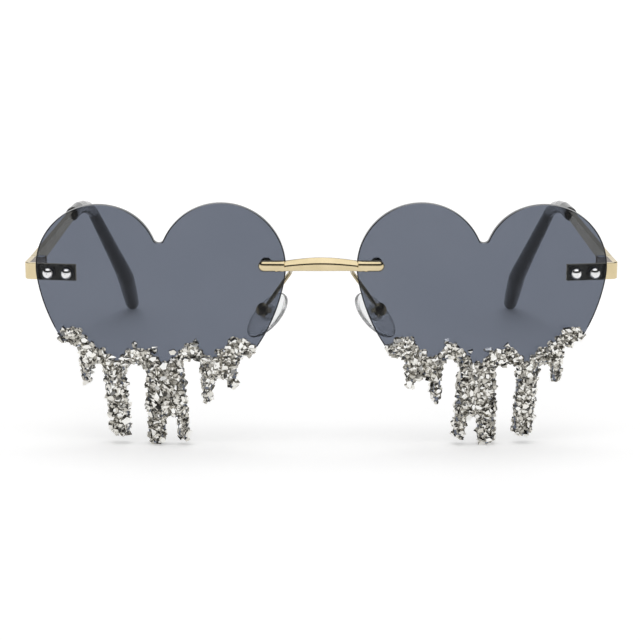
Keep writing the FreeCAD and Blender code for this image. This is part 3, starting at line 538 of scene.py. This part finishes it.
def edge_section(before, point, after):
    """Three corners of the ground edge, dark with painted shade, at a point of the outline, or None
    where it isn't steep.
    """
    way = (after - before).normalized()
    inward = Vector((0, -1, 0)).cross(way)
    start, full = CORNER_STEEP
    width = CORNER_WIDTH * min(1.0, (abs(way.z) - start) / (full - start))
    if width <= 0:
        return None
    proud = Vector((0, -CORNER_PROUD, 0))
    wrap = Vector((0, CORNER_WRAP * width, 0))
    return point + proud, point + inward * width + proud / 2, point - inward * CORNER_PROUD + wrap


def make_edge(side, material):
    """Slim ground corner, near black as painted shade, along the steep parts of a lens's front
    outline, down to its crust.
    """
    stones = node_tree(f"{side}_crystals")
    outline = lens_outline(side)
    shape = bmesh.new()
    sections = []
    for before, point, after in zip(outline[-1:] + outline, outline, outline[1:] + outline[:1]):
        corners = edge_section(before, point, after)
        if corners is None or stones.find_nearest(point)[3] < STONE_REACH:
            sections.append(None)
        else:
            sections.append([shape.verts.new(corner) for corner in corners])
    for section, after in zip(sections, sections[1:] + sections[:1]):
        if section and after:
            for corner in range(3):
                beside = (corner + 1) % 3
                shape.faces.new((section[corner], section[beside], after[beside], after[corner]))
    open_ends = [edge for edge in shape.edges if edge.is_boundary]
    bmesh.ops.holes_fill(shape, edges=open_ends, sides=3)
    loose = [vertex for vertex in shape.verts if not vertex.link_faces]
    bmesh.ops.delete(shape, geom=loose, context="VERTS")
    bmesh.ops.recalc_face_normals(shape, faces=shape.faces)
    piece = mesh_piece(f"{side}_shaded_lens_edge", shape, material)
    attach(piece, "front")


def crust_spots(side, pitch, dice):
    """Scattered spots on the crusted part of one lens and just past its edge, a pitch apart.

    Each has its place on the front, the nearest place on the lens's edge, and its way in from
    that edge, which is negative past it.
    """
    lens, stones = node_tree(f"{side}_lens"), node_tree(f"{side}_crystals")
    walls = wall_tree(side)
    low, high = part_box(f"{side}_crystals")
    grid, spots = {}, []
    tries = int(TRIES_PER_SQUARE * (high[0] - low[0]) * (high[2] - low[2]) / pitch ** 2)
    around = [(i, j) for i in range(-2, 3) for j in range(-2, 3)]
    trim = Vector((0, 0, CRUST_TRIM))
    for _ in range(tries):
        x = dice.uniform(low[0] - CRUST_OVERHANG, high[0] + CRUST_OVERHANG)
        z = dice.uniform(low[2], high[2] + STONE_REACH)
        cell = (int(x // pitch), int(z // pitch))
        near = [grid.get((cell[0] + i, cell[1] + j)) for i, j in around]
        if any(spot and (spot[0] - x) ** 2 + (spot[1] - z) ** 2 < pitch ** 2 for spot in near):
            continue
        point = Vector((x, lens_front(x), z))
        past = lens.find_nearest(point)[3]
        if past > CRUST_OVERHANG or stones.find_nearest(point + trim)[3] > STONE_REACH:
            continue
        grid[cell] = (x, z)
        edge = walls.find_nearest(point)[0]
        inward = (edge - point).length
        spots.append((point, edge, inward if past < ON_LENS else -inward))
    return spots


def chip_place(spot, proud, tilt, dice):
    """Frame of a chip: flat in the middle of a drip, leaning out over its rounded edge."""
    point, edge, inward = spot
    share = min(1.0, max(0.0, inward / DRIP_ROUNDING))
    way = edge - point if inward > 0 else point - edge
    way = Vector((way.x, way.z, 0))
    if inward > 0:
        crown = DRIP_CROWN * sqrt(1 - (1 - share) ** 2)
        place = lens_frame(point.x, point.z, proud + crown)
    else:
        place = lens_frame(edge.x, edge.z, -dice.uniform(*EDGE_DEPTHS) * LENS_THICKNESS)
    if share < 1 and way.length > 0:
        lean = radians(DRIP_LEAN) * (1 - share)
        place = place @ Matrix.Rotation(lean, 4, Vector((-way.y, way.x, 0)))
    place = place @ Matrix.Rotation(radians(dice.uniform(-tilt, tilt)), 4, "X")
    return place @ Matrix.Rotation(radians(dice.uniform(-tilt, tilt)), 4, "Y")


def add_sides(shape, foot, top):
    """Faces from a foot's corners up to a top's."""
    sides = []
    for corner in range(len(foot)):
        after = (corner + 1) % len(foot)
        sides.append(shape.faces.new((foot[corner], foot[after], top[after], top[corner])))
    return sides


def add_chip(shape, place, width, height, dice, painted_light):
    """One shard: a broken plate of three to six corners with leaning sides and a tilted face.

    The face is often ridged.
    """
    corners = dice.choice(CHIP_CORNERS)
    start = dice.uniform(0, tau)
    stretch = dice.uniform(*CHIP_STRETCH)
    slope = Vector((dice.uniform(*CHIP_SLOPE), dice.uniform(*CHIP_SLOPE)))
    foot, top = [], []
    for corner in range(corners):
        angle = start + (corner + dice.uniform(*CHIP_SHIFT)) * tau / corners
        reach = width / 2 * dice.uniform(*CHIP_STRAY)
        taper = dice.uniform(*CHIP_TAPER)
        x, y = reach * cos(angle) * stretch, reach * sin(angle) / stretch
        rise = height * CHIP_MIDDLE + slope.x * x * taper + slope.y * y * taper
        foot.append(shape.verts.new(place @ Vector((x, y, -CHIP_SINK))))
        top.append(shape.verts.new(place @ Vector((x * taper, y * taper, max(rise, CHIP_LEAST)))))
    # Painted reflection and shade: each facet of the chip gets its own tone.
    shape.faces.new(foot[::-1])[painted_light] = FOOT_TONE
    for side in add_sides(shape, foot, top):
        side[painted_light] = dice.uniform(*SIDE_TONES)
    shade = dice.choice(FACE_TONES)
    ridged = dice.random() < RIDGED_SHARE
    if ridged:
        peak = sum((vertex.co for vertex in top), Vector()) / corners
        peak += (place.to_3x3() @ Vector((0, 0, 1))) * height * dice.uniform(*RIDGE_RISE)
        crown = shape.verts.new(peak)
        facets = [shape.faces.new((*pair, crown)) for pair in zip(top, top[1:] + top[:1])]
    else:
        facets = [shape.faces.new(top)]
    for facet in facets:
        change = dice.uniform(*FACET_TONES) * ridged
        facet[painted_light] = min(1.0, max(0.0, shade + change))


def add_bed(shape, place, width, dice, painted_light):
    """One dab of the bed that the chips are set in, dark as painted shade between them."""
    start = dice.uniform(0, tau)
    rings = []
    for share, rise in BED_RINGS:
        ring = []
        for corner in range(BED_CORNERS):
            angle = start + corner * tau / BED_CORNERS
            reach = width * share * dice.uniform(*BED_STRAY)
            corner_place = Vector((reach * cos(angle), reach * sin(angle), rise))
            ring.append(shape.verts.new(place @ corner_place))
        rings.append(ring)
    foot, top = rings
    faces = [shape.faces.new(foot[::-1]), shape.faces.new(top), *add_sides(shape, foot, top)]
    # Painted shade: the bed's tones keep the gaps between chips dark.
    for face in faces:
        face[painted_light] = dice.uniform(*BED_TONES)


def make_crust(side, material):
    """A bed dark with painted shade, with three layers of shards on the drips and the band above
    them.
    """
    dice = random.Random(f"{side} shards")
    shape = bmesh.new()
    painted_light = shape.faces.layers.float.new("painted_light")
    for spot in crust_spots(side, BED_PITCH, dice):
        inward = spot[2]
        if inward > 0:
            width = BED_WIDTH if inward > BED_WIDTH / 2 else 2 * max(inward, BED_LEAST)
            add_bed(shape, chip_place(spot, 0.0, 0, dice), width, dice, painted_light)
    for layer, (pitch, widths, heights, proud) in enumerate(CHIP_LAYERS):
        for spot in crust_spots(side, pitch, dice):
            place = chip_place(spot, proud, CHIP_TILT + LAYER_TILT * layer, dice)
            height = dice.uniform(*heights) * (1.0 if spot[2] > 0 else EDGE_CHIP_HEIGHT)
            add_chip(shape, place, dice.uniform(*widths), height, dice, painted_light)
    for x, z in LOOSE_CHIPS:
        place = lens_frame(SIDES[side] * x * MM, z * MM)
        place = place @ Matrix.Rotation(radians(dice.uniform(-LOOSE_TILT, LOOSE_TILT)), 4, "X")
        width = dice.uniform(*LOOSE_WIDTHS) * MM
        add_chip(shape, place, width, dice.uniform(*LOOSE_HEIGHTS) * MM, dice, painted_light)
    for vertex in shape.verts:
        vertex.co.z = max(vertex.co.z, cad_box[0][2])
    piece = mesh_piece(f"{side}_shards", shape, material)
    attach(piece, "front")
    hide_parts(f"{side}_crystals")


def pad_frame(side):
    """Frame on a pad's pivot: X down along the pad, Y along its screw, Z to the nose."""
    splay, turn = radians(PAD_SPLAY), radians(PAD_TURN)
    down = Vector((sin(splay), 0, -cos(splay)))
    nose = Vector((-cos(splay) * cos(turn), sin(turn), -sin(splay) * cos(turn)))
    across = nose.cross(down)
    place = Vector((PAD_PIVOT[0], LENS_FRONT + PAD_PIVOT[1], PAD_PIVOT[2]))
    turned = Matrix((down, across, nose)).transposed().to_4x4()
    return Matrix.Scale(SIDES[side], 4, (1, 0, 0)) @ (Matrix.Translation(place) @ turned)


def make_nose_pad(side, material):
    """Soft pad: an oval cushion, domed to the nose, with a full rounded rim and a flatter back."""
    shape = bmesh.new()
    rim = shape.verts.layers.float.new("rim")
    place = pad_frame(side)
    rows = []
    for ring in range(1, PAD_RINGS):
        angle = pi * ring / PAD_RINGS
        reach = sin(angle) ** PAD_FULLNESS
        level = cos(angle)
        rise = PAD_THICKNESS / 2 * (1 + level * abs(level) ** PAD_FLATNESS if level else 1)
        row = []
        for step in range(PAD_STEPS):
            turn = tau * step / PAD_STEPS
            x = PAD_LENGTH / 2 * reach * cos(turn)
            y = PAD_WIDTH / 2 * reach * sin(turn) * (1 - PAD_TAPER * cos(turn))
            row.append(shape.verts.new(place @ Vector((PAD_DROP + x, y, PAD_STANDOFF + rise))))
            # Painted shade on the rim, heavier towards the pad's lower end.
            row[-1][rim] = sin(angle) ** RIM_FALL * (RIM_EVEN + RIM_LOWER * cos(turn))
        rows.append(row)
    crown = shape.verts.new(place @ Vector((PAD_DROP, 0, PAD_STANDOFF + PAD_THICKNESS)))
    back = shape.verts.new(place @ Vector((PAD_DROP, 0, PAD_STANDOFF)))
    for step in range(PAD_STEPS):
        after = (step + 1) % PAD_STEPS
        shape.faces.new((crown, rows[0][step], rows[0][after]))
        shape.faces.new((back, rows[-1][after], rows[-1][step]))
        for row, below in zip(rows, rows[1:]):
            shape.faces.new((row[step], below[step], below[after], row[after]))
    bmesh.ops.recalc_face_normals(shape, faces=shape.faces)
    piece = mesh_piece(f"{side}_soft_pad", shape, material)
    piece.data.polygons.foreach_set("use_smooth", [True] * len(piece.data.polygons))
    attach(piece, f"{side}_pad")
    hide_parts(f"{side}_nose_pad")


def seen_rays(tree):
    """1 for rays by which the camera, mirrors and clear pieces see a surface, 0 for its light."""
    path = tree.nodes.new("ShaderNodeLightPath")
    seen = path.outputs["Is Camera Ray"]
    for name in ("Is Glossy Ray", "Is Transmission Ray"):
        either = tree.nodes.new("ShaderNodeMath")
        either.operation = "MAXIMUM"
        tree.links.new(seen, either.inputs[0])
        tree.links.new(path.outputs[name], either.inputs[1])
        seen = either.outputs[0]
    return seen


def mixed(tree, unseen, seen):
    """One shader for the light that a surface gives, and another for how it is seen."""
    mix = tree.nodes.new("ShaderNodeMixShader")
    tree.links.new(seen_rays(tree), mix.inputs[0])
    tree.links.new(unseen.outputs[0], mix.inputs[1])
    tree.links.new(seen.outputs[0], mix.inputs[2])
    return mix


def floor_paint():
    """Pale matt floor with a glow, for the eye alone, that lifts it to white."""
    paint = Paint(
        "floor_white", Base_Color=FLOOR_GREY, Roughness=FLOOR_ROUGHNESS, Specular_IOR_Level=0.0,
    )
    glow, dark = paint.add("ShaderNodeEmission"), paint.add("ShaderNodeEmission")
    share = paint.spread(paint.vector("LENGTH", paint.place()), 0, 1, 0, FLOOR_REACH)
    paint.link(paint.ramp(share, greys(FLOOR_GLOW)), glow.inputs["Strength"])
    dark.inputs["Strength"].default_value = 0.0
    both = paint.add("ShaderNodeAddShader")
    paint.link(paint.shader.outputs[0], both.inputs[0])
    paint.link(mixed(paint.tree, dark, glow).outputs[0], both.inputs[1])
    paint.link(both.outputs[0], paint.tree.nodes["Material Output"].inputs["Surface"])
    return paint.material


def make_floor():
    """Pale seamless floor that keeps the soft shadows."""
    shape = bmesh.new()
    square = (-1, -1), (1, -1), (1, 1), (-1, 1)
    shape.faces.new([
        shape.verts.new((x * FLOOR_REACH, y * FLOOR_REACH, 0)) for x, y in square
    ])
    floor = mesh_piece("floor", shape, floor_paint())


def add_lamp(name, size, watts, place, turn, mirrored):
    """One soft rectangular lamp, turned from straight down, that metal may mirror."""
    lamp = bpy.data.lights.new(name, "AREA")
    lamp.shape = "RECTANGLE"
    lamp.size, lamp.size_y = size
    lamp.energy = watts
    holder = bpy.data.objects.new(name, lamp)
    holder.location = place
    holder.rotation_euler = (radians(turn), 0, 0)
    holder.visible_camera = False
    holder.visible_glossy = mirrored
    bpy.context.scene.collection.objects.link(holder)


def make_light():
    """White surround with a dark ring high up, two lamps overhead and a low one behind."""
    world = bpy.data.worlds.new("studio")
    bpy.context.scene.world = world
    world.use_nodes = True
    tree = world.node_tree
    place = tree.nodes.new("ShaderNodeTexCoord")
    split = tree.nodes.new("ShaderNodeSeparateXYZ")
    tree.links.new(place.outputs["Generated"], split.inputs[0])
    ring = tree.nodes.new("ShaderNodeValToRGB")
    set_stops(ring, greys(SURROUND))
    tree.links.new(split.outputs["Z"], ring.inputs["Fac"])
    lit, seen = tree.nodes["Background"], tree.nodes.new("ShaderNodeBackground")
    lit.inputs["Strength"].default_value = WORLD_LIGHT
    lit.inputs["Color"].default_value = (*WHITE, 1)
    tree.links.new(ring.outputs["Color"], seen.inputs["Color"])
    surround = mixed(tree, lit, seen)
    tree.links.new(surround.outputs[0], tree.nodes["World Output"].inputs["Surface"])
    for name, settings in LAMPS.items():
        add_lamp(name, *settings)


def make_camera():
    """Camera at the photograph's height and distance."""
    pitch = radians(CAMERA_PITCH)
    camera = bpy.data.cameras.new("camera")
    camera.lens = CAMERA_FOCUS
    camera.sensor_width = SENSOR
    camera.clip_start = CAMERA_NEAR
    camera.shift_x = -(AXIS_PIXEL - FRAME_PIXELS / 2) / FRAME_PIXELS
    holder = bpy.data.objects.new("camera", camera)
    back, up = CAMERA_REACH * cos(pitch), CAMERA_REACH * sin(pitch)
    holder.location = (0, LENS_FRONT - back, AIM_Z + up)
    holder.rotation_euler = (pi / 2 - pitch, 0, 0)
    bpy.context.scene.collection.objects.link(holder)
    bpy.context.scene.camera = holder


def dress_solids():
    """Materials and small roundings of the solids that stay."""
    gold, shaded_gold = gold_paint(), gold_paint("shaded_gold", SHADED_GOLD_DEPTH)
    worn = (
        (gold, ("end_piece", "temple")),
        # The pad arms wear a darker copy of the gold, painted shade for their place behind the
        # lens.
        (shaded_gold, ("pad_arm",)),
        (steel_paint(), ("lens_screws", "lens_nuts", "bridge_nut", "pad_screw", "hinge_screw")),
        (nylon_paint(), ("bridge_bush", "bridge_washer", "lens_bushes", "lens_washers")),
        (lens_paint(), ("lens",)),
        (core_paint(), ("pad_core",)),
        (tip_paint(), ("temple_tip",)),
    )
    wear(nodes["bridge"], gold)
    for side in SIDES:
        for material, names in worn:
            for name in names:
                wear(nodes[f"{side}_{name}"], material)
        for name, width in ROUNDINGS.items():
            rounded(nodes[f"{side}_{name}"], width)
    least, most = BAR_TURNS
    rounded(nodes["bridge"], BAR_ROUNDING, least, most, BAR_SEGMENTS)


dress_solids()
chip, silicone, ground_edge_shade = chip_paint(), silicone_paint(), edge_shade_paint()
for side in SIDES:
    make_edge(side, ground_edge_shade)
    make_crust(side, chip)
    make_nose_pad(side, silicone)
make_floor()
make_light()
make_camera()
bpy.context.scene.view_settings.view_transform = "Standard"
